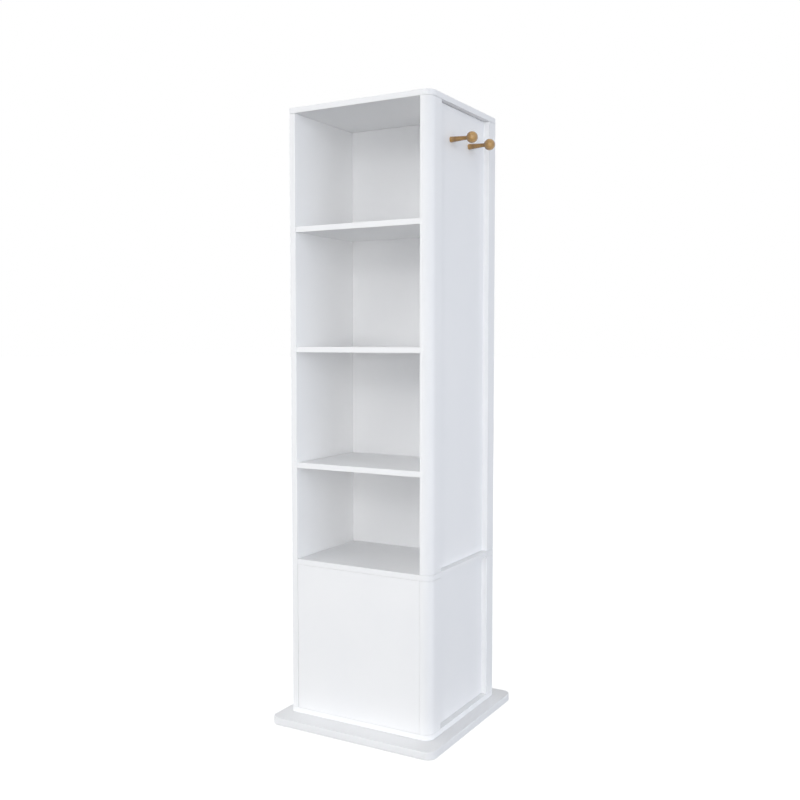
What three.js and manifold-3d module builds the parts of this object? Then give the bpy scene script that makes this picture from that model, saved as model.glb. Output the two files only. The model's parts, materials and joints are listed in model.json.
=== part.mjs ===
// Revolving wardrobe cabinet: a square tower that turns on a flat base.
// Lengths are in millimetres. Z is up, the open bays face -Y, and the origin is
// where the turning axis meets the floor.

import * as THREE from 'three';
import { mergeVertices } from 'three/addons/utils/BufferGeometryUtils.js';
import Module from 'manifold-3d';

const wasm = await Module();
wasm.setup();

// Overall sizes
const bodyWidth = 462;
const bodyDepth = 416;
const baseSide = 540;
const baseThickness = 22;
const runningGap = 1; // between the base and the turning body
const bodyCornerRadius = 28; // front right corner of the posts and of the level boards
const baseCornerRadius = 28;

// Boards
const levelBoard = 16; // bottom, middle and top panels
const shelfBoard = 16;
const leftBoard = 19;
const backBoard = 16;
const rearBoard = 16;
const doorBoard = 16;
const postWidth = 33;
const frontPostDepth = 64;
const rearPostDepth = 44;
const sideRecess = 17; // right side panels lie this far inside the posts' outer faces
const rearRecess = 17; // lower rear panel, inside the rear post's back face
const seam = 0.3; // hairline between boards that are fixed to each other
const shelfSetback = 1;

// Clear heights, from the cupboard at the foot to the top bay
const cupboardHeight = 431;
const firstBayHeight = 270;
const secondBayHeight = 323;
const thirdBayHeight = 331;
const fourthBayHeight = 324;
const bayDepth = 307;

// Mirror on the back of the bays
const mirrorThickness = 4;
const mirrorMargin = 6;

// Glides under the base
const glideHeight = 2;
const glideDiameter = 40;
const glideInset = 60; // from the base's sides to a corner glide's centre
const glideChamfer = 0.6;

// Turntable: two rings with a ball race between them
const raceRadius = 134;
const raceGap = 3; // between the two rings
const ringWidth = 14;
const ringHeight = 7.5;
const ringStagger = 1; // the inner ring stands this much higher than the outer one
const ballDiameter = 5;
const ballClearance = 0.3;
const ballCount = 24;
const cageThickness = 1.2;
const cageHeight = 3;
const slabPocketDepth = 4;
const pocketClearance = 2;

// Hidden pins that carry the shelves
const shelfPinDiameter = 5;
const shelfPinInWall = 10;
const shelfPinInShelf = 12;
const shelfPinInset = 37; // from a shelf's front or back edge
const pressFit = 0.15; // around a pin, bush or tenon in its hole

// Turned pegs
const pegBallDiameter = 32;
const pegReach = 66; // from the panel's face to the ball's centre
const pegNeckDiameter = 11;
const pegRootDiameter = 16;
const pegTenonDiameter = 10;
const pegTenonLength = 12;
const pegSpacing = 116;
const pegDrop = 92; // below the top panel's underside

// Door of the cupboard
const doorGap = 0.5;
const doorEdgeRadius = 2; // on the hinge side, where the door turns past the left side
const pivotInset = 20; // from the door's hinge side to its pins
const pivotSetback = 5; // from the door's face to its pins
const doorPinDiameter = 4;
const doorPinInDoor = 14;
const doorPinInBush = 8;
const bushDiameter = 6.5;
const bushLength = 10;
const pinClearance = 0.1;

// Push latch under the middle panel
const latchLength = 56;
const latchWidth = 16;
const latchHeight = 14;
const latchInset = 40; // from the right wall to the latch's centre
const plungerDiameter = 9;
const plungerReach = 4.5; // out of the housing, with the door shut
const plungerInHousing = 30;
const plungerTravel = 3;
const plungerChamfer = 1;
const plungerClearance = 0.25;
const strikeWidth = 18;
const strikeHeight = 12;
const strikeThickness = 1.2;

// Fineness of the round forms
const cornerSteps = 6;
const ringSides = 64;
const pegSides = 20;
const holeSides = 16;
const ballArcSteps = 12;
const grooveSteps = 4;
const overrun = 2; // how far a cutting solid reaches past the face that it opens

// Faces of the body
const bodyLeft = -bodyWidth / 2;
const bodyRight = bodyWidth / 2;
const bodyFront = -bodyDepth / 2;
const bodyBack = bodyDepth / 2;
const leftInner = bodyLeft + leftBoard;
const rightInner = bodyRight - postWidth;
const sidePanelOuter = bodyRight - sideRecess;
const backFront = bodyFront + bayDepth;
const backRear = backFront + backBoard;

// Levels
const slabTop = glideHeight + baseThickness;
const bodyBottom = slabTop + runningGap;
const bottomTop = bodyBottom + levelBoard;
const middleBottom = bottomTop + cupboardHeight;
const middleTop = middleBottom + levelBoard;
const firstShelfBottom = middleTop + firstBayHeight;
const secondShelfBottom = firstShelfBottom + shelfBoard + secondBayHeight;
const thirdShelfBottom = secondShelfBottom + shelfBoard + thirdBayHeight;
const topBottom = thirdShelfBottom + shelfBoard + fourthBayHeight;
const topTop = topBottom + levelBoard;
const pegHeight = topBottom - pegDrop;

// Materials
const lacquer = new THREE.MeshStandardMaterial({ color: 0xf1f2f5, roughness: 0.42 });
const turnedWood = new THREE.MeshStandardMaterial({ color: 0xb98d55, roughness: 0.5 });
const ringMetal = new THREE.MeshStandardMaterial({ color: 0xb9bcc0, roughness: 0.35, metalness: 1 });
const steel = new THREE.MeshStandardMaterial({ color: 0xc8cacd, roughness: 0.3, metalness: 1 });
const nylon = new THREE.MeshStandardMaterial({ color: 0xdedfe0, roughness: 0.55 });
const felt = new THREE.MeshStandardMaterial({ color: 0x8d8f93, roughness: 0.95 });
const silvering = new THREE.MeshStandardMaterial({ color: 0xf4f6f7, roughness: 0.02, metalness: 1 });

// A closed mesh as a solid that can be joined and cut
function solidOf(geometry) {
  const bare = geometry.clone();
  bare.deleteAttribute('normal');
  bare.deleteAttribute('uv');
  const merged = mergeVertices(bare);
  const vertProperties = new Float32Array(merged.attributes.position.array);
  const triVerts = new Uint32Array(merged.index.array);
  return new wasm.Manifold(new wasm.Mesh({ numProp: 3, vertProperties, triVerts }));
}

function geometryOf(solid) {
  const mesh = solid.getMesh();
  const geometry = new THREE.BufferGeometry();
  geometry.setAttribute('position', new THREE.BufferAttribute(new Float32Array(mesh.vertProperties), 3));
  geometry.setIndex(new THREE.BufferAttribute(new Uint32Array(mesh.triVerts), 1));
  geometry.computeVertexNormals();
  return geometry;
}

function cut(geometry, cutters) {
  let solid = solidOf(geometry);
  for (const cutter of cutters) {
    solid = solid.subtract(solidOf(cutter));
  }
  return geometryOf(solid);
}

function join(geometries) {
  let solid = solidOf(geometries[0]);
  for (const geometry of geometries.slice(1)) {
    solid = solid.add(solidOf(geometry));
  }
  return geometryOf(solid);
}

// A round cutter or rod along one axis, from one place on it to another
function rodAlong(axis, from, to, centre, diameter, sides = holeSides) {
  const rod = new THREE.CylinderGeometry(diameter / 2, diameter / 2, to - from, sides);
  if (axis === 'x') rod.rotateZ(Math.PI / 2);
  if (axis === 'z') rod.rotateX(Math.PI / 2);
  const place = { ...centre, [axis]: (from + to) / 2 };
  return rod.translate(place.x, place.y, place.z);
}

// A turned solid about the Z axis. The profile's points are [radius, height].
function turned(profile, sides) {
  const points = profile.map(([radius, height]) => new THREE.Vector2(radius, height));
  return new THREE.LatheGeometry(points, sides).rotateX(Math.PI / 2);
}

function addMesh(group, name, geometry, material, place = new THREE.Vector3()) {
  const mesh = new THREE.Mesh(geometry, material);
  mesh.name = name;
  mesh.position.copy(place);
  group.add(mesh);
  return mesh;
}

// A square-edged board between two places on each axis. The cutters are in the group's frame.
function addBoard(group, name, x, y, z, material, cutters = []) {
  const size = new THREE.Vector3(x[1] - x[0], y[1] - y[0], z[1] - z[0]);
  const centre = new THREE.Vector3((x[0] + x[1]) / 2, (y[0] + y[1]) / 2, (z[0] + z[1]) / 2);
  let geometry = new THREE.BoxGeometry(size.x, size.y, size.z);
  if (cutters.length > 0) {
    const local = cutters.map((cutter) => cutter.clone().translate(-centre.x, -centre.y, -centre.z));
    geometry = cut(geometry, local);
  }
  return addMesh(group, name, geometry, material, centre);
}

// A rectangle whose corners are rounded by their own radii, as a flat outline
function roundedOutline(x, y, radii) {
  const { frontLeft = 0, frontRight = 0, backRight = 0, backLeft = 0 } = radii;
  const outline = new THREE.Shape();
  const corner = (cornerX, cornerY, radius, centreX, centreY, startAngle) => {
    if (radius > 0) {
      outline.absarc(centreX, centreY, radius, startAngle, startAngle + Math.PI / 2, false);
    } else {
      outline.lineTo(cornerX, cornerY);
    }
  };
  outline.moveTo(x[0] + frontLeft, y[0]);
  corner(x[1], y[0], frontRight, x[1] - frontRight, y[0] + frontRight, -Math.PI / 2);
  corner(x[1], y[1], backRight, x[1] - backRight, y[1] - backRight, 0);
  corner(x[0], y[1], backLeft, x[0] + backLeft, y[1] - backLeft, Math.PI / 2);
  corner(x[0], y[0], frontLeft, x[0] + frontLeft, y[0] + frontLeft, Math.PI);
  return outline;
}

// A board or post whose plan has rounded corners. The cutters are in the group's frame.
function addRoundedBoard(group, name, x, y, z, radii, material, cutters = []) {
  const outline = roundedOutline(x, y, radii);
  const settings = { depth: z[1] - z[0], bevelEnabled: false, curveSegments: cornerSteps };
  let geometry = new THREE.ExtrudeGeometry(outline, settings);
  if (cutters.length > 0) {
    const local = cutters.map((cutter) => cutter.clone().translate(0, 0, -z[0]));
    geometry = cut(geometry, local);
  }
  return addMesh(group, name, geometry, material, new THREE.Vector3(0, 0, z[0]));
}

const wardrobe = new THREE.Group();
const base = new THREE.Group();
const turntable = new THREE.Group();
const cabinet = new THREE.Group();
const door = new THREE.Group();
wardrobe.add(base, turntable, cabinet);
cabinet.add(door);

// Base slab, with the pocket that the turntable lies in
const pocketDiameter = (raceRadius + raceGap / 2 + ringWidth + pocketClearance) * 2;
const onAxis = { x: 0, y: 0 };
const slabPocketFloor = slabTop - slabPocketDepth;

function buildBase() {
  const side = [-baseSide / 2, baseSide / 2];
  const radii = {
    frontLeft: baseCornerRadius,
    frontRight: baseCornerRadius,
    backRight: baseCornerRadius,
    backLeft: baseCornerRadius,
  };
  const pocket = rodAlong('z', slabPocketFloor, slabTop + overrun, onAxis, pocketDiameter, ringSides);
  addRoundedBoard(base, 'base_slab', side, side, [glideHeight, slabTop], radii, lacquer, [pocket]);

  const glideTop = glideHeight - seam;
  const glideProfile = [
    [0, 0],
    [glideDiameter / 2 - glideChamfer, 0],
    [glideDiameter / 2, glideChamfer],
    [glideDiameter / 2, glideTop],
    [0, glideTop],
  ];
  const reach = baseSide / 2 - glideInset;
  const glides = [
    ['glide_centre', 0, 0],
    ['glide_front_left', -reach, -reach],
    ['glide_front_right', reach, -reach],
    ['glide_back_right', reach, reach],
    ['glide_back_left', -reach, reach],
  ];
  for (const [name, x, y] of glides) {
    addMesh(base, name, turned(glideProfile, pegSides), felt, new THREE.Vector3(x, y, 0));
  }
}

// Turntable rings. Each ring's wall has a groove that holds the balls.
const outerRingBottom = slabPocketFloor + seam;
const innerRingBottom = outerRingBottom + ringStagger;
const innerRingTop = innerRingBottom + ringHeight;
const raceLevel = (innerRingBottom + outerRingBottom + ringHeight) / 2;
const bottomPocketRoof = innerRingTop + seam;

// Points down or up the groove's arc on one side of the race
function groovePoints(side, upwards) {
  const grooveRadius = ballDiameter / 2 + ballClearance;
  const halfAngle = Math.acos(raceGap / 2 / grooveRadius);
  const points = [];
  for (let step = 0; step <= grooveSteps; step += 1) {
    const share = step / grooveSteps;
    const angle = (upwards ? 1 : -1) * halfAngle * (2 * share - 1);
    points.push([
      raceRadius + side * grooveRadius * Math.cos(angle),
      raceLevel + grooveRadius * Math.sin(angle),
    ]);
  }
  return points;
}

function buildTurntable() {
  const outerWall = raceRadius + raceGap / 2;
  const outerRing = [
    [outerWall, outerRingBottom],
    [outerWall + ringWidth, outerRingBottom],
    [outerWall + ringWidth, outerRingBottom + ringHeight],
    [outerWall, outerRingBottom + ringHeight],
    ...groovePoints(1, false),
    [outerWall, outerRingBottom],
  ];
  addMesh(base, 'turntable_outer_ring', turned(outerRing, ringSides), ringMetal);

  const innerWall = raceRadius - raceGap / 2;
  const innerRing = [
    [innerWall - ringWidth, innerRingBottom],
    [innerWall, innerRingBottom],
    ...groovePoints(-1, true),
    [innerWall, innerRingTop],
    [innerWall - ringWidth, innerRingTop],
    [innerWall - ringWidth, innerRingBottom],
  ];
  addMesh(cabinet, 'turntable_inner_ring', turned(innerRing, ringSides), ringMetal);

  const cageRing = [
    [raceRadius - cageThickness / 2, raceLevel - cageHeight / 2],
    [raceRadius + cageThickness / 2, raceLevel - cageHeight / 2],
    [raceRadius + cageThickness / 2, raceLevel + cageHeight / 2],
    [raceRadius - cageThickness / 2, raceLevel + cageHeight / 2],
    [raceRadius - cageThickness / 2, raceLevel - cageHeight / 2],
  ];
  const pieces = [turned(cageRing, ringSides)];
  for (let ball = 0; ball < ballCount; ball += 1) {
    const angle = (ball / ballCount) * Math.PI * 2;
    const x = raceRadius * Math.cos(angle);
    const y = raceRadius * Math.sin(angle);
    pieces.push(new THREE.IcosahedronGeometry(ballDiameter / 2, 1).translate(x, y, raceLevel));
  }
  addMesh(turntable, 'turntable_ball_cage', join(pieces), steel);
}

// Shelf pins: two in each end of a shelf, half in the wall and half in the shelf
const shelfBottoms = [firstShelfBottom, secondShelfBottom, thirdShelfBottom];
const shelfFront = bodyFront + shelfSetback;
const shelfBack = backFront - seam;
const pinRows = [
  ['front', shelfFront + shelfPinInset],
  ['back', shelfBack - shelfPinInset],
];
const pinWalls = [
  ['left', leftInner, -1],
  ['right', rightInner, 1],
];

// A span along X from a wall's face: outwards into the wall and inwards into the bay
function pinSpan(face, outwards, intoWall, intoBay) {
  const ends = [face + outwards * intoWall, face - outwards * intoBay];
  return [Math.min(...ends), Math.max(...ends)];
}

function shelfPinHoles(face, outwards, intoWall, intoBay, rows, levels) {
  const span = pinSpan(face, outwards, intoWall, intoBay);
  const diameter = shelfPinDiameter + pressFit * 2;
  const holes = [];
  for (const level of levels) {
    for (const [, y] of rows) {
      holes.push(rodAlong('x', span[0], span[1], { y, z: level + shelfBoard / 2 }, diameter));
    }
  }
  return holes;
}

function buildShelves() {
  shelfBottoms.forEach((bottom, index) => {
    const number = index + 1;
    const x = [leftInner + seam, rightInner - seam];
    const depthInShelf = shelfPinInShelf + seam + pressFit;
    const holes = pinWalls.flatMap(([, face, outwards]) =>
      shelfPinHoles(face, outwards, overrun, depthInShelf, pinRows, [bottom]),
    );
    const y = [shelfFront, shelfBack];
    const z = [bottom, bottom + shelfBoard];
    addBoard(cabinet, `shelf_${number}`, x, y, z, lacquer, holes);
    for (const [wall, face, outwards] of pinWalls) {
      const span = pinSpan(face, outwards, shelfPinInWall, shelfPinInShelf + seam);
      for (const [row, rowY] of pinRows) {
        const centre = { y: rowY, z: bottom + shelfBoard / 2 };
        const rod = rodAlong('x', span[0], span[1], centre, shelfPinDiameter);
        addMesh(cabinet, `shelf_${number}_pin_${wall}_${row}`, rod, steel);
      }
    }
  });
}

// Pegs: a ball on a tapered neck, with a tenon in the panel
const pegPlaces = [
  ['front', -pegSpacing / 2],
  ['back', pegSpacing / 2],
];

function pegProfile() {
  const ballRadius = pegBallDiameter / 2;
  const neckRadius = pegNeckDiameter / 2;
  const neckAngle = Math.asin(neckRadius / ballRadius);
  const profile = [
    [0, -pegTenonLength],
    [pegTenonDiameter / 2, -pegTenonLength],
    [pegTenonDiameter / 2, seam],
    [pegRootDiameter / 2, seam],
  ];
  for (let step = 0; step < ballArcSteps; step += 1) {
    const angle = neckAngle + ((Math.PI - neckAngle) * step) / ballArcSteps;
    profile.push([ballRadius * Math.sin(angle), pegReach - ballRadius * Math.cos(angle)]);
  }
  profile.push([0, pegReach + ballRadius]);
  return profile;
}

function addPeg(name, face, outwards, y) {
  const peg = addMesh(cabinet, name, turned(pegProfile(), pegSides), turnedWood);
  peg.rotation.y = (outwards * Math.PI) / 2;
  peg.position.set(face, y, pegHeight);
}

function pegHoles(face, outwards) {
  const span = pinSpan(face, outwards, overrun, pegTenonLength + pressFit);
  const diameter = pegTenonDiameter + pressFit * 2;
  return pegPlaces.map(([, y]) => rodAlong('x', span[0], span[1], { y, z: pegHeight }, diameter));
}

function buildPegs() {
  for (const [place, y] of pegPlaces) {
    addPeg(`peg_right_${place}`, sidePanelOuter, 1, y);
    addPeg(`peg_left_${place}`, bodyLeft, -1, y);
  }
}

// Door pins turn in bushes in the bottom and middle panels
const doorLeft = leftInner + doorGap;
const doorRight = rightInner - doorGap;
const doorBottom = bottomTop + doorGap;
const doorTop = middleBottom - doorGap;
const doorBack = bodyFront + doorBoard;
const pivot = { x: doorLeft + pivotInset, y: bodyFront + pivotSetback };

function bushHole(face, upwards) {
  const depth = bushLength + pressFit;
  const ends = upwards ? [face - overrun, face + depth] : [face - depth, face + overrun];
  return rodAlong('z', ends[0], ends[1], pivot, bushDiameter + pressFit * 2);
}

// A blind bush, flush with the face that the door meets. The pin's end bears on the bottom of its bore.
function addBush(name, face, upwards) {
  const bore = doorPinDiameter / 2 + pinClearance;
  const boreDepth = doorPinInBush + seam;
  const profile = [
    [0, boreDepth],
    [bore, boreDepth],
    [bore, 0],
    [bushDiameter / 2, 0],
    [bushDiameter / 2, bushLength],
    [0, bushLength],
  ];
  const bush = addMesh(cabinet, name, turned(profile, holeSides), nylon);
  bush.position.set(pivot.x, pivot.y, face);
  bush.rotation.x = upwards ? 0 : Math.PI;
}

function buildDoor() {
  const radii = { frontLeft: doorEdgeRadius };
  const pinHole = doorPinDiameter + pressFit * 2;
  const holeDepth = doorPinInDoor + pressFit;
  const holes = [
    rodAlong('z', doorTop - holeDepth, doorTop + overrun, pivot, pinHole),
    rodAlong('z', doorBottom - overrun, doorBottom + holeDepth, pivot, pinHole),
  ];
  const x = [doorLeft, doorRight];
  const y = [bodyFront, doorBack];
  const z = [doorBottom, doorTop];
  addRoundedBoard(door, 'door_panel', x, y, z, radii, lacquer, holes);

  const pins = [
    ['door_pin_upper', doorTop - doorPinInDoor, middleBottom + doorPinInBush],
    ['door_pin_lower', bottomTop - doorPinInBush, doorBottom + doorPinInDoor],
  ];
  for (const [name, from, to] of pins) {
    addMesh(door, name, rodAlong('z', from, to, pivot, doorPinDiameter), steel);
  }
  addBush('door_bush_upper', middleBottom, true);
  addBush('door_bush_lower', bottomTop, false);
}

// Push latch: a sprung plunger in a housing, and the steel plate that it meets on the door
function buildLatch() {
  const x = rightInner - latchInset;
  const z = middleBottom - seam - latchHeight / 2;
  const strikeBack = doorBack + seam + strikeThickness;
  const strikeX = [x - strikeWidth / 2, x + strikeWidth / 2];
  const strikeZ = [z - strikeHeight / 2, z + strikeHeight / 2];
  addBoard(door, 'door_strike_plate', strikeX, [doorBack + seam, strikeBack], strikeZ, steel);

  const tip = strikeBack + seam;
  const housingFront = tip + plungerReach;
  const boreEnd = housingFront + plungerInHousing + plungerTravel + plungerClearance;
  const boreDiameter = plungerDiameter + plungerClearance * 2;
  const bore = rodAlong('y', housingFront - overrun, boreEnd, { x, z }, boreDiameter);
  const housingX = [x - latchWidth / 2, x + latchWidth / 2];
  const housingY = [housingFront, housingFront + latchLength];
  const housingZ = [z - latchHeight / 2, z + latchHeight / 2];
  addBoard(cabinet, 'latch_housing', housingX, housingY, housingZ, nylon, [bore]);

  const plunger = [
    [0, 0],
    [plungerDiameter / 2 - plungerChamfer, 0],
    [plungerDiameter / 2, plungerChamfer],
    [plungerDiameter / 2, plungerReach + plungerInHousing],
    [0, plungerReach + plungerInHousing],
  ];
  const mesh = addMesh(cabinet, 'latch_plunger', turned(plunger, holeSides), nylon);
  mesh.rotation.x = -Math.PI / 2;
  mesh.position.set(x, tip, z);
}

// Level panels: bottom and top cover the whole plan, the middle one ends at the left side
function buildLevelPanels() {
  const fullX = [bodyLeft, bodyRight];
  const middleX = [leftInner + seam, bodyRight];
  const y = [bodyFront, bodyBack];
  const radii = { frontRight: bodyCornerRadius };
  const pocket = rodAlong('z', bodyBottom - overrun, bottomPocketRoof, onAxis, pocketDiameter, ringSides);
  const bottomCuts = [pocket, bushHole(bottomTop, false)];
  const middleCuts = [bushHole(middleBottom, true)];
  addRoundedBoard(cabinet, 'bottom_panel', fullX, y, [bodyBottom, bottomTop], radii, lacquer, bottomCuts);
  addRoundedBoard(cabinet, 'middle_panel', middleX, y, [middleBottom, middleTop], radii, lacquer, middleCuts);
  addRoundedBoard(cabinet, 'top_panel', fullX, y, [topBottom, topTop], radii, lacquer);
}

// Left side, the posts of the right side and the panels between them
function buildSides() {
  const leftHoles = [
    ...shelfPinHoles(leftInner, -1, shelfPinInWall + pressFit, overrun, pinRows, shelfBottoms),
    ...pegHoles(bodyLeft, -1),
  ];
  const leftZ = [bottomTop + seam, topBottom - seam];
  addBoard(cabinet, 'left_side', [bodyLeft, leftInner], [bodyFront, bodyBack], leftZ, lacquer, leftHoles);

  const postX = [rightInner, bodyRight];
  const frontY = [bodyFront, bodyFront + frontPostDepth];
  const rearY = [bodyBack - rearPostDepth, bodyBack];
  const panelX = [rightInner, sidePanelOuter];
  const panelY = [frontY[1] + seam, rearY[0] - seam];
  const lowerZ = [bottomTop + seam, middleBottom - seam];
  const upperZ = [middleTop + seam, topBottom - seam];
  const radii = { frontRight: bodyCornerRadius };
  const inWall = shelfPinInWall + pressFit;
  const [frontRow, backRow] = pinRows;
  const postHoles = shelfPinHoles(rightInner, 1, inWall, overrun, [frontRow], shelfBottoms);
  const panelHoles = [
    ...shelfPinHoles(rightInner, 1, inWall, overrun, [backRow], shelfBottoms),
    ...pegHoles(sidePanelOuter, 1),
  ];
  addRoundedBoard(cabinet, 'lower_front_post', postX, frontY, lowerZ, radii, lacquer);
  addRoundedBoard(cabinet, 'upper_front_post', postX, frontY, upperZ, radii, lacquer, postHoles);
  addBoard(cabinet, 'lower_rear_post', postX, rearY, lowerZ, lacquer);
  addBoard(cabinet, 'upper_rear_post', postX, rearY, upperZ, lacquer);
  addBoard(cabinet, 'lower_side_panel', panelX, panelY, lowerZ, lacquer);
  addBoard(cabinet, 'upper_side_panel', panelX, panelY, upperZ, lacquer, panelHoles);
}

// Back of the bays with the mirror on it, and the rear panel of the cupboard
function buildBacks() {
  const x = [leftInner + seam, rightInner - seam];
  const upperZ = [middleTop + seam, topBottom - seam];
  const lowerZ = [bottomTop + seam, middleBottom - seam];
  addBoard(cabinet, 'back_panel', x, [backFront, backRear], upperZ, lacquer);

  const mirrorX = [leftInner + mirrorMargin, rightInner - mirrorMargin];
  const mirrorY = [backRear + seam, backRear + seam + mirrorThickness];
  const mirrorZ = [middleTop + mirrorMargin, topBottom - mirrorMargin];
  addBoard(cabinet, 'mirror', mirrorX, mirrorY, mirrorZ, silvering);

  const rearFace = bodyBack - rearRecess;
  addBoard(cabinet, 'lower_rear_panel', x, [rearFace - rearBoard, rearFace], lowerZ, lacquer);
}

buildBase();
buildTurntable();
buildLevelPanels();
buildSides();
buildBacks();
buildShelves();
buildPegs();
buildDoor();
buildLatch();

export default wardrobe;
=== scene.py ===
"""The looks of a revolving wardrobe cabinet: lacquered boards, turned pegs and the mirror on its back.

Lengths are in metres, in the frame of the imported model. Z is up and the open bays face -Y.
"""

import json
import math

import bmesh
import bpy
from mathutils import Matrix, Vector


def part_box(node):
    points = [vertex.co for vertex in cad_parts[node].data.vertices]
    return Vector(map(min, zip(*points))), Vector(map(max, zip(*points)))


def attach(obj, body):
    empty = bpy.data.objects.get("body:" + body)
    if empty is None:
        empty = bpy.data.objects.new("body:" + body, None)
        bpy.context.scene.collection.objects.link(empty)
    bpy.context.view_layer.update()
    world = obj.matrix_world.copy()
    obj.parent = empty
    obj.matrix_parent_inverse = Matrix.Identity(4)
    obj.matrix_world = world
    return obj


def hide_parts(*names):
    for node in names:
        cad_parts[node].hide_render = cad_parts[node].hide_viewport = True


MM = 0.001
UP = Vector((0, 0, 1))
ORIGIN = Vector((0, 0, 0))
SWAP_Y_AND_Z = Matrix(((1, 0, 0, 0), (0, 0, 1, 0), (0, 1, 0, 0), (0, 0, 0, 1)))

# Camera at the photograph's viewing angle
CAMERA_PLACE = (1.4528, -2.5175, 1.1259)
CAMERA_TURN = math.radians(29.683)
CAMERA_TILT = math.radians(-3.399)
FOCAL_LENGTH_PX = 969.8
FRAME_WIDTH_PX = 800
SENSOR_WIDTH_MM = 36

# Rounded edges and corners
BOARD_EDGE = 0.4 * MM
BASE_EDGE = 2.0 * MM
FITTING_EDGE = 0.5 * MM
DOOR_HINGE_EDGE = 2 * MM
BODY_CORNER_RADIUS = 28 * MM
BASE_CORNER_RADIUS = 28 * MM

# Joint lines at the ends of the uprights and side panels, and the play round fittings
JOINT_GAP = 0.3 * MM
PANEL_GAP = 0.8 * MM
SEAM = 0.3 * MM
PRESS_FIT = 0.15 * MM
POCKET_CLEARANCE = 2 * MM

# Turned pegs, from the root at the panel to the ball
PEG_TENON_RADIUS = 5 * MM
PEG_TENON_LENGTH = 12 * MM
PEG_ROOT_RADIUS = 8 * MM
PEG_NECK_RADIUS = 5.5 * MM
PEG_BALL_RADIUS = 16 * MM

# Painted shade along a peg, from its middle (0) to its ends (1): place and tone, with the powers for green
# and blue. It darkens the ball where it meets the neck and towards its tip for the shade round the ball's
# rim, and the dark tip also stands for end grain
PEG_PAINTED_SHADE_TONES = [
    (0.0, 0.8),
    (0.3, 0.68),
    (0.38, 0.52),
    (0.5, 0.7),
    (0.66, 0.9),
    (0.8, 1.0),
    (0.92, 0.88),
    (1.0, 0.6),
]
PEG_PAINTED_SHADE_GREEN = 1.12
PEG_PAINTED_SHADE_BLUE = 1.25

# Door pins and bushes
DOOR_PIN_DIAMETER = 4 * MM
PIN_CLEARANCE = 0.1 * MM
BUSH_DIAMETER = 6.5 * MM

# Turntable race
RACE_RADIUS = 134 * MM
RACE_GAP = 3 * MM
BALL_RADIUS = 2.5 * MM
GROOVE_RADIUS = 2.8 * MM
BALL_COUNT = 24
CAGE_THICKNESS = 1.2 * MM
CAGE_HEIGHT = 3 * MM

# Push latch and its strike plate
PLUNGER_BORE_DIAMETER = 9.5 * MM
PLUNGER_BORE_DEPTH = 33.25 * MM
PLUNGER_TIP_RADIUS = 1.2 * MM
LATCH_CORNER_RADIUS = 3 * MM
STRIKE_CORNER_RADIUS = 2 * MM
EDGE_OF_PLATE = 0.2 * MM

# Mirror
MIRROR_BEVEL_WIDTH = 12 * MM
MIRROR_EDGE_THICKNESS = 2.6 * MM

# Studio: the world's levels are what it gives off, the backdrop's is what is seen of it
WORLD_HORIZON_LEVEL = 0.82
WORLD_ZENITH_LEVEL = 0.29
WORLD_COLOUR = (0.965, 0.978, 1.0)
BACKDROP_LEVEL = 1.0
FLOOR_COLOUR = (0.5, 0.503, 0.506)
FLOOR_ROUGHNESS = 0.9
FLOOR_SPECULAR = 0.1
FLOOR_BOUNCE_COLOUR = (0.33, 0.333, 0.338)
FLOOR_LIFT = 0.77
FLOOR_HALF = 60

# Lamps: name, degrees to the right of the front, height, size, power and colour
WHITE = (1, 1, 1)
PALE_BLUE = (0.84, 0.9, 1)
BLUE = (0.5, 0.6, 1)
LAMPS = [
    ("key", 45, 1.0, 1.6, 9.4, WHITE),
    ("front", 21, 1.0, 1.3, 12.1, WHITE),
    ("spot", 24, 3.2, 1.0, 9, WHITE),
    ("left", -60, 1.6, 3, 41, WHITE),
    ("upper", -30, 4.5, 3, 14.8, WHITE),
    ("right", 75, 1.6, 3, 28, PALE_BLUE),
    ("side", 105, 1.6, 3, 4, BLUE),
    ("back", -165, 1.6, 3, 22, WHITE),
]
LAMPS_IN_THE_MIRROR = ["key", "front", "spot"]
LAMP_DISTANCE = 6.5
LAMP_SPREAD = math.radians(90)
LAMP_TARGET = Vector((0, 0, 0.95))

# Fineness
SHARP_ANGLE = math.radians(30)
ARC_STEPS = 16
EDGE_STEPS = 3
NECK_STEPS = 14
PEG_BALL_STEPS = 36
LATHE_SIDES = 64
RING_SIDES = 160
BALL_SIDES = 32


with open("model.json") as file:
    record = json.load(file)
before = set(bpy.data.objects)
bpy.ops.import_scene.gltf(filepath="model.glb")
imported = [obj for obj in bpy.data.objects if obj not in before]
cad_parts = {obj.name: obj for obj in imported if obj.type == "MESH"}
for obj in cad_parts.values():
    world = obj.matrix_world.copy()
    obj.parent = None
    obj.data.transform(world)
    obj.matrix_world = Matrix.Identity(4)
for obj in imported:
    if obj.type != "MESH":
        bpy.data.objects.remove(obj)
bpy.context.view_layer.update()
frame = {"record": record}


# Node trees


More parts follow.
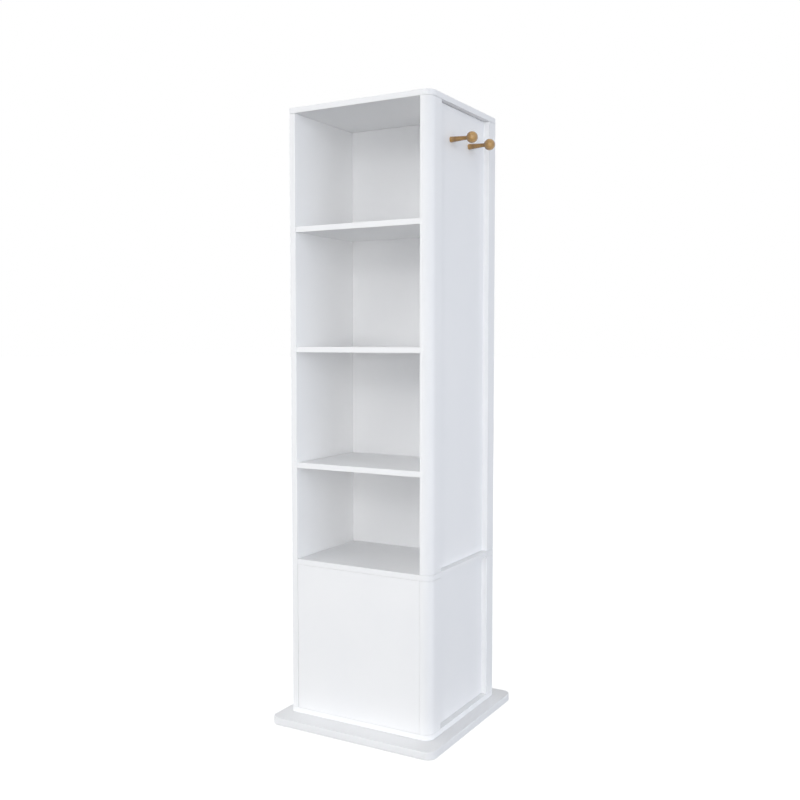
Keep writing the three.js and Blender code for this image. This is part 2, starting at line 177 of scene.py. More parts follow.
class Shading:
    """A material's node tree, built around its Principled shader."""

    def __init__(self, name, colour, roughness, metallic=0.0):
        self.material = bpy.data.materials.new(name)
        self.material.use_nodes = True
        self.nodes = self.material.node_tree.nodes
        self.shader = self.nodes["Principled BSDF"]
        self.shader.inputs["Base Color"].default_value = (*colour, 1)
        self.shader.inputs["Roughness"].default_value = roughness
        self.shader.inputs["Metallic"].default_value = metallic
        self.coordinates = self.node("ShaderNodeTexCoord").outputs["Object"]

    def node(self, kind, **settings):
        made = self.nodes.new(kind)
        for key, value in settings.items():
            setattr(made, key, value)
        return made

    def link(self, output, target):
        self.material.node_tree.links.new(output, target)

    def stretched(self, scale, turn=(0, 0, 0)):
        mapping = self.node("ShaderNodeMapping")
        mapping.inputs["Scale"].default_value = scale
        mapping.inputs["Rotation"].default_value = turn
        self.link(self.coordinates, mapping.inputs["Vector"])
        return mapping.outputs["Vector"]

    def noise(self, scale, detail=4.0, roughness=0.5, vector=None):
        noise = self.node("ShaderNodeTexNoise")
        noise.inputs["Scale"].default_value = scale
        noise.inputs["Detail"].default_value = detail
        noise.inputs["Roughness"].default_value = roughness
        self.link(vector or self.coordinates, noise.inputs["Vector"])
        return noise.outputs["Fac"]

    def ramp(self, factor, stops):
        ramp = self.node("ShaderNodeValToRGB")
        elements = ramp.color_ramp.elements
        while len(elements) < len(stops):
            elements.new(1.0)
        for element, (place, colour) in zip(elements, stops):
            element.position = place
            element.color = (*colour, 1)
        self.link(factor, ramp.inputs["Fac"])
        return ramp.outputs["Color"]

    def from_middle(self, axis):
        """Nought at the middle of the piece and one at its ends."""
        place = self.node("ShaderNodeSeparateXYZ")
        self.link(self.node("ShaderNodeTexCoord").outputs["Generated"], place.inputs["Vector"])
        offset = self.node("ShaderNodeMath", operation="SUBTRACT")
        offset.inputs[1].default_value = 0.5
        self.link(place.outputs[axis], offset.inputs[0])
        distance = self.node("ShaderNodeMath", operation="ABSOLUTE")
        self.link(offset.outputs["Value"], distance.inputs[0])
        return self.spread(distance.outputs["Value"], 0.0, 1.0, low_in=0.0, high_in=0.5)

    def spread(self, factor, low, high, low_in=0.3, high_in=0.7):
        """Maps a texture's middle values to a range."""
        spread = self.node("ShaderNodeMapRange")
        sockets = {"From Min": low_in, "From Max": high_in, "To Min": low, "To Max": high}
        for socket, value in sockets.items():
            spread.inputs[socket].default_value = value
        self.link(factor, spread.inputs["Value"])
        return spread.outputs["Result"]

    def blend(self, factor, first, second, mode="MIX"):
        mix = self.node("ShaderNodeMix", data_type="RGBA", blend_type=mode)
        if isinstance(factor, float):
            mix.inputs["Factor"].default_value = factor
        else:
            self.link(factor, mix.inputs["Factor"])
        self.link(first, mix.inputs["A"])
        self.link(second, mix.inputs["B"])
        return mix.outputs["Result"]

    def bump(self, height, distance, strength=1.0):
        """Adds relief of a height in metres to what the shader has already."""
        bump = self.node("ShaderNodeBump")
        bump.inputs["Distance"].default_value = distance
        bump.inputs["Strength"].default_value = strength
        self.link(height, bump.inputs["Height"])
        normal = self.shader.inputs["Normal"]
        if normal.is_linked:
            self.link(normal.links[0].from_socket, bump.inputs["Normal"])
        self.link(bump.outputs["Normal"], normal)

    def colour(self, output):
        self.link(output, self.shader.inputs["Base Color"])

    def roughness(self, output):
        self.link(output, self.shader.inputs["Roughness"])


def white_lacquer():
    """Sprayed satin lacquer on fibreboard: nearly even, with a fine orange peel."""
    s = Shading("white_lacquer", (0.90, 0.903, 0.911), 0.58)
    clouds = s.noise(5.0, detail=3.0)
    s.colour(s.ramp(clouds, [(0.35, (0.893, 0.897, 0.906)), (0.65, (0.907, 0.909, 0.915))]))
    s.roughness(s.spread(s.noise(14.0, detail=5.0), 0.54, 0.63))
    s.bump(s.noise(420.0, detail=2.0), 0.02 * MM)
    s.bump(s.noise(95.0, detail=1.0), 0.03 * MM)
    s.shader.inputs["Specular IOR Level"].default_value = 0.35
    return s.material


def turned_beech():
    """Beech with its grain along the peg, short dark flecks, and painted shade that darkens the ball where
    it meets the neck and towards its tip, where it also stands for end grain.
    """
    s = Shading("turned_beech", (0.42, 0.25, 0.105), 0.42)
    along_grain = s.stretched((0.12, 1.0, 1.0))
    rings = s.node("ShaderNodeTexWave", wave_type="BANDS", bands_direction="Z", wave_profile="SIN")
    rings.inputs["Scale"].default_value = 90.0
    rings.inputs["Distortion"].default_value = 3.5
    rings.inputs["Detail"].default_value = 2.5
    rings.inputs["Detail Scale"].default_value = 1.4
    s.link(along_grain, rings.inputs["Vector"])
    bands = s.ramp(
        rings.outputs["Fac"],
        [(0.0, (0.34, 0.168, 0.026)), (0.45, (0.485, 0.262, 0.05)), (1.0, (0.61, 0.35, 0.082))],
    )
    fleck_field = s.noise(900.0, detail=2.0, roughness=0.6, vector=s.stretched((0.22, 1.0, 1.0)))
    flecks = s.ramp(fleck_field, [(0.34, (0.42, 0.3, 0.2)), (0.46, (1.0, 1.0, 1.0))])
    grain = s.blend(0.55, bands, flecks, mode="MULTIPLY")
    # Painted shade along the peg: darker at the ball's neck and tip for the shade round its rim, with
    # darker end grain at the tip.
    tones = [(place, (tone, tone**PEG_PAINTED_SHADE_GREEN, tone**PEG_PAINTED_SHADE_BLUE)) for place, tone in PEG_PAINTED_SHADE_TONES]
    painted_shade_and_end_grain = s.ramp(s.from_middle("X"), tones)
    s.colour(s.blend(1.0, grain, painted_shade_and_end_grain, mode="MULTIPLY"))
    s.roughness(s.spread(fleck_field, 0.5, 0.38))
    s.bump(fleck_field, 0.03 * MM)
    s.shader.inputs["Coat Weight"].default_value = 1.0
    s.shader.inputs["Coat Roughness"].default_value = 0.23
    s.shader.inputs["Coat IOR"].default_value = 1.6
    return s.material


def drawn_aluminium():
    """Aluminium ring section with faint lines round the axis."""
    s = Shading("ring_aluminium", (0.74, 0.75, 0.77), 0.34, metallic=1.0)
    lines = s.node("ShaderNodeTexWave", wave_type="RINGS", rings_direction="Z")
    lines.inputs["Scale"].default_value = 320.0
    lines.inputs["Distortion"].default_value = 1.2
    s.link(s.coordinates, lines.inputs["Vector"])
    s.roughness(s.spread(lines.outputs["Fac"], 0.28, 0.42, low_in=0.0, high_in=1.0))
    s.bump(lines.outputs["Fac"], 0.01 * MM)
    s.colour(s.ramp(s.noise(60.0), [(0.3, (0.70, 0.71, 0.73)), (0.7, (0.78, 0.79, 0.80))]))
    return s.material


def zinc_steel():
    """Bright zinc plating with a light mottle."""
    s = Shading("zinc_steel", (0.72, 0.73, 0.75), 0.3, metallic=1.0)
    mottle = s.noise(260.0, detail=5.0)
    s.colour(s.ramp(mottle, [(0.3, (0.62, 0.63, 0.66)), (0.7, (0.80, 0.80, 0.79))]))
    s.roughness(s.spread(mottle, 0.24, 0.4))
    s.bump(s.noise(1400.0), 0.008 * MM)
    return s.material


def white_nylon():
    """Moulded nylon with the fine spark texture of its tool."""
    s = Shading("white_nylon", (0.78, 0.79, 0.80), 0.5)
    s.colour(s.ramp(s.noise(40.0), [(0.3, (0.76, 0.77, 0.78)), (0.7, (0.80, 0.81, 0.82))]))
    s.roughness(s.spread(s.noise(120.0), 0.44, 0.56))
    s.bump(s.noise(2600.0, detail=1.0), 0.02 * MM)
    return s.material


def grey_felt():
    """Pressed felt, with loose fibres that catch light at its edge."""
    s = Shading("grey_felt", (0.15, 0.155, 0.165), 0.95)
    fibres = s.noise(1500.0, detail=6.0, roughness=0.7, vector=s.stretched((1.0, 0.35, 1.0), (0, 0, 0.6)))
    s.colour(s.ramp(fibres, [(0.3, (0.10, 0.105, 0.115)), (0.7, (0.24, 0.245, 0.255))]))
    s.bump(fibres, 0.3 * MM)
    s.shader.inputs["Sheen Weight"].default_value = 0.5
    return s.material


def mirror_glass():
    """Silvered float glass."""
    s = Shading("mirror_glass", (0.83, 0.87, 0.86), 0.015, metallic=1.0)
    s.roughness(s.spread(s.noise(7.0, detail=3.0), 0.008, 0.03))
    s.colour(s.ramp(s.noise(2.0), [(0.3, (0.82, 0.862, 0.852)), (0.7, (0.84, 0.878, 0.868))]))
    return s.material


def glass_edge():
    """The ground and polished edge of the mirror, where the glass shows green."""
    s = Shading("glass_edge", (0.36, 0.52, 0.46), 0.12)
    s.colour(s.ramp(s.noise(300.0), [(0.3, (0.30, 0.46, 0.40)), (0.7, (0.42, 0.58, 0.52))]))
    s.roughness(s.spread(s.noise(500.0), 0.08, 0.25))
    s.shader.inputs["Coat Weight"].default_value = 0.6
    s.shader.inputs["Coat Roughness"].default_value = 0.05
    return s.material


MATERIALS = {
    "white_lacquer": white_lacquer(),
    "turned_wood": turned_beech(),
    "ring_aluminium": drawn_aluminium(),
    "steel": zinc_steel(),
    "nylon": white_nylon(),
    "felt": grey_felt(),
    "mirror_glass": mirror_glass(),
}


# Meshes


def new_piece(name, mesh, body, slot):
    piece = bpy.data.objects.new(name, mesh)
    bpy.context.scene.collection.objects.link(piece)
    mesh.materials.append(MATERIALS[slot])
    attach(piece, body)
    return piece


def mesh_of(name, bm):
    bmesh.ops.recalc_face_normals(bm, faces=bm.faces)
    mesh = bpy.data.meshes.new(name)
    bm.to_mesh(mesh)
    bm.free()
    mesh.shade_smooth()
    return mesh


def even_normals(piece):
    """Keeps the large faces flat beside their rounded edges."""
    modifier = piece.modifiers.new("flat_faces", "WEIGHTED_NORMAL")
    modifier.keep_sharp = True


def outline(low, high, radii):
    """Points round a rectangle in plan whose corners, from the lowest one, have their own radii."""
    corners = [(low.x, low.y), (high.x, low.y), (high.x, high.y), (low.x, high.y)]
    inwards = [(1, 1), (-1, 1), (-1, -1), (1, -1)]
    points = []
    for index, ((x, y), (dx, dy)) in enumerate(zip(corners, inwards)):
        radius = radii.get(index, 0)
        if radius == 0:
            points.append((x, y))
            continue
        centre = (x + dx * radius, y + dy * radius)
        start = math.pi + index * math.pi / 2
        for step in range(ARC_STEPS + 1):
            angle = start + step / ARC_STEPS * math.pi / 2
            points.append((centre[0] + radius * math.cos(angle), centre[1] + radius * math.sin(angle)))
    return points


def prism(points, bottom, top, edge):
    """A closed board over an outline, with every sharp edge rounded."""
    bm = bmesh.new()
    lower = [bm.verts.new((x, y, bottom)) for x, y in points]
    upper = [bm.verts.new((x, y, top)) for x, y in points]
    bm.faces.new(list(reversed(lower)))
    bm.faces.new(upper)
    count = len(points)
    for index in range(count):
        following = (index + 1) % count
        bm.faces.new((lower[index], lower[following], upper[following], upper[index]))
    bm.normal_update()
    sharp = [e for e in bm.edges if e.calc_face_angle() > SHARP_ANGLE]
    bmesh.ops.bevel(bm, geom=sharp, offset=edge, segments=EDGE_STEPS, profile=0.5, affect="EDGES")
    return bm


def cylinder_along(axis, centre, diameter, low, high, sides=LATHE_SIDES):
    """A plain round cutter along one axis (0, 1 or 2) between two places on it."""
    turns = {0: Matrix.Rotation(math.pi / 2, 4, "Y"), 1: Matrix.Rotation(math.pi / 2, 4, "X"), 2: Matrix()}
    place = Vector(centre)
    place[axis] = (low + high) / 2
    bm = bmesh.new()
    bmesh.ops.create_cone(
        bm,
        cap_ends=True,
        segments=sides,
        radius1=diameter / 2,
        radius2=diameter / 2,
        depth=high - low,
        matrix=Matrix.Translation(place) @ turns[axis],
    )
    return mesh_of("cutter", bm)


def cut(mesh, cutters):
    """The mesh with the cutters' meshes taken out of it."""
    if not cutters:
        return mesh
    target = bpy.data.objects.new("target", mesh)
    bpy.context.scene.collection.objects.link(target)
    tools = []
    for cutter in cutters:
        tool = bpy.data.objects.new("tool", cutter)
        bpy.context.scene.collection.objects.link(tool)
        tools.append(tool)
        boolean = target.modifiers.new("cut", "BOOLEAN")
        boolean.operation = "DIFFERENCE"
        boolean.solver = "EXACT"
        boolean.object = tool
    graph = bpy.context.evaluated_depsgraph_get()
    result = bpy.data.meshes.new_from_object(target.evaluated_get(graph))
    for made in (target, *tools):
        bpy.data.objects.remove(made)
    result.materials.clear()
    result.shade_smooth()
    return result


def board(node, body="cabinet", radii=None, edge=BOARD_EDGE, joint=0.0, cutters=()):
    """A board in the place of its CAD node, with rounded arrises, joint lines at its ends and its holes."""
    low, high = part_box(node)
    mesh = mesh_of(node, prism(outline(low, high, radii or {}), low.z + joint, high.z - joint, edge))
    piece = new_piece(f"{node}_finished", cut(mesh, cutters), body, "white_lacquer")
    even_normals(piece)
    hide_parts(node)
    return piece


def lathe(name, profile, sides, axis=UP, origin=ORIGIN):
    """A closed turned mesh. The profile's points are (radius, height along the axis)."""
    bm = bmesh.new()
    rings = []
    for radius, height in profile:
        if radius == 0:
            rings.append([bm.verts.new((0, 0, height))])
            continue
        ring = []
        for side in range(sides):
            angle = 2 * math.pi * side / sides
            ring.append(bm.verts.new((radius * math.cos(angle), radius * math.sin(angle), height)))
        rings.append(ring)
    closed = profile[0] == profile[-1]
    if closed:
        for vertex in rings[-1]:
            bm.verts.remove(vertex)
        rings[-1] = rings[0]
    for first, second in zip(rings, rings[1:]):
        for side in range(sides):
            after = (side + 1) % sides
            if len(first) == 1:
                bm.faces.new((first[0], second[side], second[after]))
            elif len(second) == 1:
                bm.faces.new((first[side], first[after], second[0]))
            else:
                bm.faces.new((first[side], first[after], second[after], second[side]))
    turn = UP.rotation_difference(axis).to_matrix().to_4x4()
    bm.transform(Matrix.Translation(origin) @ turn)
    return mesh_of(name, bm)


def arc(centre, radius, start, end, steps):
    """Profile points on an arc, with angles in degrees from the outward radius."""
    points = []
    for step in range(steps + 1):
        angle = math.radians(start + (end - start) * step / steps)
        points.append((centre[0] + radius * math.cos(angle), centre[1] + radius * math.sin(angle)))
    return points


def turned_piece(node, body, slot, profile, axis=UP, origin=ORIGIN, sides=LATHE_SIDES):
    """A turned mesh in the place of its CAD node."""
    piece = new_piece(f"{node}_turned", lathe(node, profile, sides, axis, origin), body, slot)
    even_normals(piece)
    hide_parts(node)
    return piece


def rod_profile(radius, length, chamfer=FITTING_EDGE):
    return [
        (0, 0),
        (radius - chamfer, 0),
        (radius, chamfer),
        (radius, length - chamfer),
        (radius - chamfer, length),
        (0, length),
    ]


def rod(node, body, slot, axis):
    """A chamfered pin along one axis (0, 1 or 2)."""
    low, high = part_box(node)
    across = (axis + 1) % 3
    direction = Vector((0, 0, 0))
    direction[axis] = 1
    origin = (low + high) / 2
    origin[axis] = low[axis]
    profile = rod_profile((high[across] - low[across]) / 2, high[axis] - low[axis])
    return turned_piece(node, body, slot, profile, direction, origin)


def plate(node, body, slot, radius, edge, cutters=()):
    """A piece in the place of its CAD node that is rounded in the face that it turns to the front."""
    low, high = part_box(node)
    corners = {index: radius for index in range(4)}
    bm = prism(outline(low.xz, high.xz, corners), low.y, high.y, edge)
    bm.transform(SWAP_Y_AND_Z)
    piece = new_piece(f"{node}_finished", cut(mesh_of(node, bm), cutters), body, slot)
    even_normals(piece)
    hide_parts(node)
    return piece


def middle(node):
    low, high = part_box(node)
    return (low + high) / 2


def hole_for(node, axis, diameter, clearance=PRESS_FIT):
    """A cutter for the hole that a round node sits in."""
    low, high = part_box(node)
    width = diameter + 2 * clearance
    return cylinder_along(axis, (low + high) / 2, width, low[axis] - clearance, high[axis] + clearance)


# Base and turntable


def ring_pocket(low, high):
    """A cutter that leaves room all round the turntable."""
    ring_low, ring_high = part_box("turntable_outer_ring")
    diameter = ring_high.x - ring_low.x + 2 * POCKET_CLEARANCE
    return cylinder_along(2, (0, 0, 0), diameter, low, high, RING_SIDES)


def build_base():
    _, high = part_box("base_slab")
    ring_low, ring_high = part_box("turntable_outer_ring")
    pocket = ring_pocket(ring_low.z - SEAM, ring_high.z)
    corners = {index: BASE_CORNER_RADIUS for index in range(4)}
    board("base_slab", "base", corners, BASE_EDGE, cutters=[pocket])
    for node in frame["record"]["behaviour"]["bodies"]["base"]:
        if node.startswith("glide"):
            build_glide(node)


def build_glide(node):
    low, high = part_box(node)
    radius = (high.x - low.x) / 2
    edge = FITTING_EDGE
    profile = [(0, low.z), *arc((radius - edge, low.z + edge), edge, -90, 0, EDGE_STEPS)]
    profile += [(radius, high.z), (0, high.z)]
    place = middle(node)
    turned_piece(node, "base", "felt", profile, origin=Vector((place.x, place.y, 0)))


def groove(side, level, upwards):
    """The race's groove in the wall of the outer ring (side 1) or of the inner one (side -1)."""
    half = math.degrees(math.acos(RACE_GAP / 2 / GROOVE_RADIUS))
    middle_angle = 0 if side > 0 else 180
    start, end = (-half, half) if upwards == (side > 0) else (half, -half)
    return arc((RACE_RADIUS, level), GROOVE_RADIUS, middle_angle + start, middle_angle + end, ARC_STEPS)


def ring_profile(wall, far, bottom, top, level):
    """A ring's section, from its race wall round the groove and back, with small rounds at its corners."""
    side = 1 if far > wall else -1
    edge = FITTING_EDGE
    lower = arc((far - side * edge, bottom + edge), edge, -90, 0 if side > 0 else -180, EDGE_STEPS)
    upper = arc((far - side * edge, top - edge), edge, 0 if side > 0 else 180, 90, EDGE_STEPS)
    points = [(wall, bottom), *lower, *upper, (wall, top), *groove(side, level, upwards=False)]
    return [*points, points[0]]


def build_turntable():
    outer_low, outer_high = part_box("turntable_outer_ring")
    inner_low, inner_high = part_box("turntable_inner_ring")
    ring_width = outer_high.x - RACE_RADIUS - RACE_GAP / 2
    level = (inner_low.z + outer_high.z) / 2
    rings = [
        ("turntable_outer_ring", "base", 1, outer_low.z, outer_high.z),
        ("turntable_inner_ring", "cabinet", -1, inner_low.z, inner_high.z),
    ]
    for node, body, side, bottom, top in rings:
        wall = RACE_RADIUS + side * RACE_GAP / 2
        profile = ring_profile(wall, wall + side * ring_width, bottom, top, level)
        turned_piece(node, body, "ring_aluminium", profile, sides=RING_SIDES)
    build_cage(level)


def build_cage(level):
    """The balls in their cage."""
    inner, outer = RACE_RADIUS - CAGE_THICKNESS / 2, RACE_RADIUS + CAGE_THICKNESS / 2
    low, high = level - CAGE_HEIGHT / 2, level + CAGE_HEIGHT / 2
    section = [(inner, low), (outer, low), (outer, high), (inner, high), (inner, low)]
    flank = arc((0, 0), BALL_RADIUS, -90, 90, BALL_SIDES // 2)[1:-1]
    ball = [(0, -BALL_RADIUS), *flank, (0, BALL_RADIUS)]
    bm = bmesh.new()
    bm.from_mesh(lathe("cage_band", section, RING_SIDES))
    for index in range(BALL_COUNT):
        angle = 2 * math.pi * index / BALL_COUNT
        place = Vector((RACE_RADIUS * math.cos(angle), RACE_RADIUS * math.sin(angle), level))
        bm.from_mesh(lathe("ball", ball, BALL_SIDES, origin=place))
    mesh = mesh_of("turntable_ball_cage", bm)
    piece = new_piece("turntable_ball_cage_finished", mesh, "ball_cage", "steel")
    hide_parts("turntable_ball_cage")


build_base()
build_turntable()


# Boards of the body


def pins_of(shelf, wall):
    return [f"{shelf}_pin_{wall}_{row}" for row in ("front", "back")]


def pin_holes(nodes):
    holes = []
    for node in nodes:
        low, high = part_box(node)
        holes.append(hole_for(node, 0, high.z - low.z))
    return holes


def tenon_holes(side):
    """Cutters for the tenons of one side's pegs."""
    holes = []
    for place in ("front", "back"):
        node = f"peg_{side}_{place}"
        low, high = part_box(node)
        outwards = 1 if side == "right" else -1
        root = low.x if outwards > 0 else high.x
        span = sorted((root - outwards * PRESS_FIT, root + outwards * 2 * PEG_TENON_LENGTH))
        centre = middle(node)
        holes.append(cylinder_along(0, centre, 2 * (PEG_TENON_RADIUS + PRESS_FIT), span[0], span[1]))
    return holes


SHELVES = ["shelf_1", "shelf_2", "shelf_3"]
FRONT_CORNER = {1: BODY_CORNER_RADIUS}


def build_levels():
    ring_low, ring_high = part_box("turntable_inner_ring")
    pocket = ring_pocket(ring_low.z - POCKET_CLEARANCE, ring_high.z + SEAM)
    lower_bush = hole_for("door_bush_lower", 2, BUSH_DIAMETER)
    upper_bush = hole_for("door_bush_upper", 2, BUSH_DIAMETER)
    board("bottom_panel", radii=FRONT_CORNER, cutters=[pocket, lower_bush])
    board("middle_panel", radii=FRONT_CORNER, cutters=[upper_bush])
    board("top_panel", radii=FRONT_CORNER)
    for shelf in SHELVES:
        board(shelf, cutters=pin_holes(pins_of(shelf, "left") + pins_of(shelf, "right")))


def build_sides():
    left_pins = [pin for shelf in SHELVES for pin in pins_of(shelf, "left")]
    front_pins = [f"{shelf}_pin_right_front" for shelf in SHELVES]
    back_pins = [f"{shelf}_pin_right_back" for shelf in SHELVES]
    board("left_side", joint=JOINT_GAP, cutters=pin_holes(left_pins) + tenon_holes("left"))
    board("lower_front_post", radii=FRONT_CORNER, joint=JOINT_GAP)
    board("upper_front_post", radii=FRONT_CORNER, joint=JOINT_GAP, cutters=pin_holes(front_pins))
    board("lower_rear_post", joint=JOINT_GAP)
    board("upper_rear_post", joint=JOINT_GAP)
    board("lower_side_panel", joint=PANEL_GAP)
    board("upper_side_panel", joint=PANEL_GAP, cutters=pin_holes(back_pins) + tenon_holes("right"))
    board("back_panel")
    board("lower_rear_panel")


def build_door():
    pin_cutters = [hole_for(node, 2, DOOR_PIN_DIAMETER) for node in ("door_pin_upper", "door_pin_lower")]
    board("door_panel", "door", radii={0: DOOR_HINGE_EDGE}, cutters=pin_cutters)


def build_shelf_pins():
    for shelf in SHELVES:
        for pin in pins_of(shelf, "left") + pins_of(shelf, "right"):
            rod(pin, "cabinet", "steel", 0)


def build_bush(node, inwards):
    """A blind bush, flush with the panel's face, whose bore takes the pin."""
    low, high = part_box(node)
    length = high.z - low.z
    pin_low, pin_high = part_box(node.replace("bush", "pin"))
    covered = pin_high.z - low.z if inwards > 0 else high.z - pin_low.z
    bore = DOOR_PIN_DIAMETER / 2 + PIN_CLEARANCE
    outer = BUSH_DIAMETER / 2
    profile = [
        (0, covered + SEAM),
        (bore, covered + SEAM),
        (bore, FITTING_EDGE),
        (bore + FITTING_EDGE, 0),
        (outer - PIN_CLEARANCE, 0),
        (outer, PIN_CLEARANCE),
        (outer, length - FITTING_EDGE),
        (outer - FITTING_EDGE, length),
        (0, length),
    ]
    place = middle(node)
    place.z = low.z if inwards > 0 else high.z
    turned_piece(node, "cabinet", "nylon", profile, Vector((0, 0, inwards)), place)


def build_hinges():
    for place, inwards in (("upper", 1), ("lower", -1)):
        rod(f"door_pin_{place}", "door", "steel", 2)
        build_bush(f"door_bush_{place}", inwards)


def build_latch():
    plate("door_strike_plate", "door", "steel", STRIKE_CORNER_RADIUS, EDGE_OF_PLATE)
    low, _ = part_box("latch_housing")
    ends = (low.y - SEAM, low.y + PLUNGER_BORE_DEPTH)
    bore = cylinder_along(1, middle("latch_plunger"), PLUNGER_BORE_DIAMETER, *ends)
    plate("latch_housing", "cabinet", "nylon", LATCH_CORNER_RADIUS, FITTING_EDGE, cutters=[bore])
    low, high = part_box("latch_plunger")
    radius = (high.x - low.x) / 2
    length = high.y - low.y
    tip = PLUNGER_TIP_RADIUS
    dome = arc((radius - tip, tip), tip, -90, 0, EDGE_STEPS * 2)
    profile = [(0, 0), *dome, (radius, length), (0, length)]
    place = middle("latch_plunger")
    place.y = low.y
    turned_piece("latch_plunger", "plunger", "nylon", profile, Vector((0, 1, 0)), place)


build_levels()
build_sides()
build_door()
build_shelf_pins()
build_hinges()
build_latch()


# Pegs


def peg_profile(reach):
    """From the tenon's end, through the flared root and the neck, to the top of the ball."""
    neck_angle = math.degrees(math.asin(PEG_NECK_RADIUS / PEG_BALL_RADIUS))
    neck_end = reach - PEG_BALL_RADIUS * math.cos(math.radians(neck_angle))
    chamfer = FITTING_EDGE
    profile = [
        (0, -PEG_TENON_LENGTH),
        (PEG_TENON_RADIUS - chamfer, -PEG_TENON_LENGTH),
        (PEG_TENON_RADIUS, -PEG_TENON_LENGTH + chamfer),
        (PEG_TENON_RADIUS, SEAM),
        *arc((PEG_ROOT_RADIUS - chamfer, SEAM + chamfer), chamfer, -90, 0, EDGE_STEPS),
    ]
    for step in range(1, NECK_STEPS):
        share = step / NECK_STEPS
        ease = share * share * (3 - 2 * share)
        height = SEAM + 2 * chamfer + (neck_end - SEAM - 2 * chamfer) * share
        profile.append((PEG_ROOT_RADIUS + (PEG_NECK_RADIUS - PEG_ROOT_RADIUS) * ease, height))
    profile += arc((0, reach), PEG_BALL_RADIUS, neck_angle - 90, 90, PEG_BALL_STEPS)[:-1]
    profile.append((0, reach + PEG_BALL_RADIUS))
    return profile


def build_pegs():
    for side, outwards in (("right", 1), ("left", -1)):
        for place in ("front", "back"):
            node = f"peg_{side}_{place}"
            low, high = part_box(node)
            face = low.x + PEG_TENON_LENGTH if outwards > 0 else high.x - PEG_TENON_LENGTH
            reach = high.x - low.x - PEG_TENON_LENGTH - PEG_BALL_RADIUS
            centre = middle(node)
            origin = Vector((face, centre.y, centre.z))
            axis = Vector((outwards, 0, 0))
            turned_piece(node, "cabinet", "turned_wood", peg_profile(reach), axis, origin)


build_pegs()


# Mirror


def build_mirror():
    """A sheet of glass with a ground bevel all round its face."""
    low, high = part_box("mirror")
    shoulder = low.y + MIRROR_EDGE_THICKNESS
    inset = MIRROR_BEVEL_WIDTH
    bm = bmesh.new()

    def ring(y, margin):
        places = [
            (low.x + margin, low.z + margin),
            (low.x + margin, high.z - margin),
            (high.x - margin, high.z - margin),
            (high.x - margin, low.z + margin),
        ]
        return [bm.verts.new((x, y, z)) for x, z in places]

    rings = [ring(low.y, 0), ring(shoulder, 0), ring(high.y, inset)]
    bm.faces.new(rings[0])
    bm.faces.new(list(reversed(rings[-1])))
    edge_faces = []
    for level, (first, second) in enumerate(zip(rings, rings[1:])):
        for index in range(4):
            following = (index + 1) % 4
            face = bm.faces.new((first[index], first[following], second[following], second[index]))
            if level == 0:
                edge_faces.append(face)
    for face in edge_faces:
        face.material_index = 1
    bmesh.ops.recalc_face_normals(bm, faces=bm.faces)
    mesh = bpy.data.meshes.new("mirror")
    bm.to_mesh(mesh)
    bm.free()
    piece = new_piece("mirror_bevelled", mesh, "cabinet", "mirror_glass")
    mesh.materials.append(glass_edge())
    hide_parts("mirror")


build_mirror()


# Stage


def seen(tree):
    """One for what is seen directly, off metal or through glass, and nought for light that is thrown on."""
    path = tree.nodes.new("ShaderNodeLightPath")
    either = path.outputs["Is Camera Ray"]
    for kind in ("Is Glossy Ray", "Is Transmission Ray"):
        larger = tree.nodes.new("ShaderNodeMath")
        larger.operation = "MAXIMUM"
        tree.links.new(either, larger.inputs[0])
        tree.links.new(path.outputs[kind], larger.inputs[1])
        either = larger.outputs[0]
    return either


def build_floor():
    """A white floor with soft contact shadows, which throws back less light than it shows."""
    half = FLOOR_HALF
    mesh = bpy.data.meshes.new("floor")
    corners = [(-half, -half, 0), (half, -half, 0), (half, half, 0), (-half, half, 0)]
    mesh.from_pydata(corners, [], [(0, 1, 2, 3)])
    floor = bpy.data.objects.new("floor", mesh)
    bpy.context.scene.collection.objects.link(floor)
    material = bpy.data.materials.new("floor")
    material.use_nodes = True
    nodes = material.node_tree.nodes
    links = material.node_tree.links
    shown = nodes["Principled BSDF"]
    shown.inputs["Base Color"].default_value = (*FLOOR_COLOUR, 1)
    shown.inputs["Roughness"].default_value = FLOOR_ROUGHNESS
    shown.inputs["Specular IOR Level"].default_value = FLOOR_SPECULAR
    lift = nodes.new("ShaderNodeEmission")
    lift.inputs["Strength"].default_value = FLOOR_LIFT
    lifted = nodes.new("ShaderNodeAddShader")
    bounce = nodes.new("ShaderNodeBsdfDiffuse")
    bounce.inputs["Color"].default_value = (*FLOOR_BOUNCE_COLOUR, 1)
    choice = nodes.new("ShaderNodeMixShader")
    links.new(shown.outputs[0], lifted.inputs[0])
    links.new(lift.outputs[0], lifted.inputs[1])
    links.new(seen(material.node_tree), choice.inputs["Fac"])
    links.new(bounce.outputs[0], choice.inputs[1])
    links.new(lifted.outputs[0], choice.inputs[2])
    links.new(choice.outputs[0], nodes["Material Output"].inputs["Surface"])
    mesh.materials.append(material)


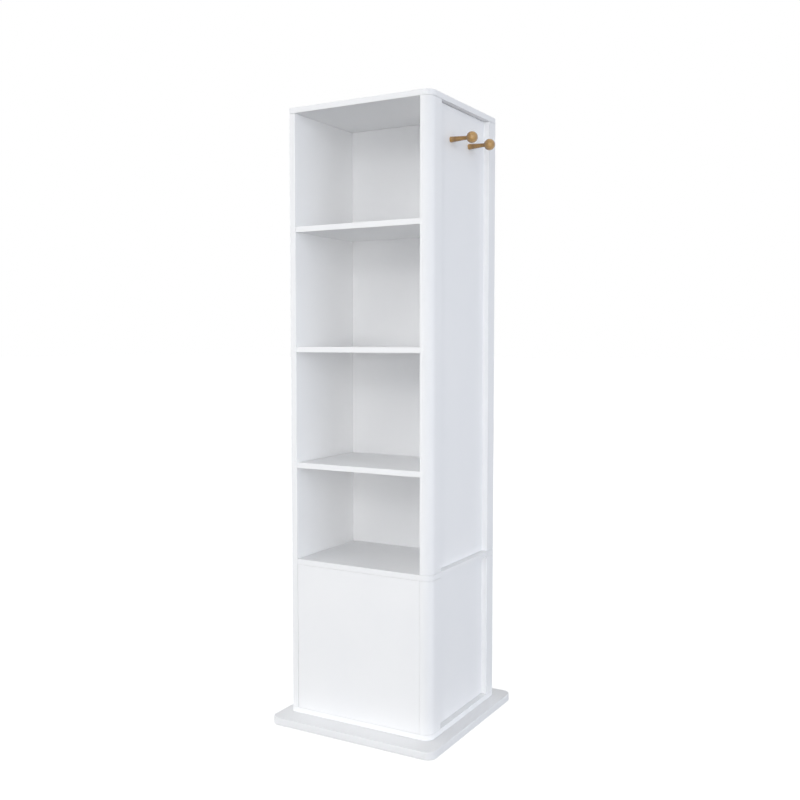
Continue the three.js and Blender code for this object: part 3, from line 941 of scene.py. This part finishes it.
def build_world():
    """White all round to the eye; what it gives off is strongest at the horizon."""
    world = bpy.data.worlds.new("studio")
    bpy.context.scene.world = world
    world.use_nodes = True
    nodes = world.node_tree.nodes
    links = world.node_tree.links
    around = nodes["Background"]
    around.inputs["Color"].default_value = (*WORLD_COLOUR, 1)
    height = nodes.new("ShaderNodeSeparateXYZ")
    links.new(nodes.new("ShaderNodeTexCoord").outputs["Generated"], height.inputs[0])
    level = nodes.new("ShaderNodeMapRange")
    level.inputs["To Min"].default_value = WORLD_HORIZON_LEVEL
    level.inputs["To Max"].default_value = WORLD_ZENITH_LEVEL
    links.new(height.outputs["Z"], level.inputs["Value"])
    links.new(level.outputs["Result"], around.inputs["Strength"])
    backdrop = nodes.new("ShaderNodeBackground")
    backdrop.inputs["Color"].default_value = (*WHITE, 1)
    backdrop.inputs["Strength"].default_value = BACKDROP_LEVEL
    choice = nodes.new("ShaderNodeMixShader")
    links.new(seen(world.node_tree), choice.inputs["Fac"])
    links.new(around.outputs[0], choice.inputs[1])
    links.new(backdrop.outputs[0], choice.inputs[2])
    links.new(choice.outputs[0], nodes["World Output"].inputs["Surface"])


def add_lamp(name, degrees, height, size, power, colour):
    """A square soft box with a grid, aimed at the body."""
    data = bpy.data.lights.new(name, "AREA")
    data.shape = "SQUARE"
    data.size = size
    data.energy = power
    data.spread = LAMP_SPREAD
    data.color = colour
    turn = math.radians(degrees)
    place = Vector((LAMP_DISTANCE * math.sin(turn), -LAMP_DISTANCE * math.cos(turn), height))
    lamp = bpy.data.objects.new(name, data)
    lamp.location = place
    lamp.rotation_euler = (LAMP_TARGET - place).to_track_quat("-Z", "Y").to_euler()
    lamp.visible_glossy = name in LAMPS_IN_THE_MIRROR
    bpy.context.scene.collection.objects.link(lamp)


def build_camera():
    data = bpy.data.cameras.new("camera")
    data.sensor_fit = "HORIZONTAL"
    data.sensor_width = SENSOR_WIDTH_MM
    data.lens = FOCAL_LENGTH_PX / FRAME_WIDTH_PX * SENSOR_WIDTH_MM
    camera = bpy.data.objects.new("camera", data)
    camera.location = CAMERA_PLACE
    camera.rotation_euler = (math.pi / 2 + CAMERA_TILT, 0, CAMERA_TURN)
    bpy.context.scene.collection.objects.link(camera)
    bpy.context.scene.camera = camera


build_camera()
build_floor()
build_world()
for lamp in LAMPS:
    add_lamp(*lamp)
bpy.context.scene.view_settings.view_transform = "Standard"
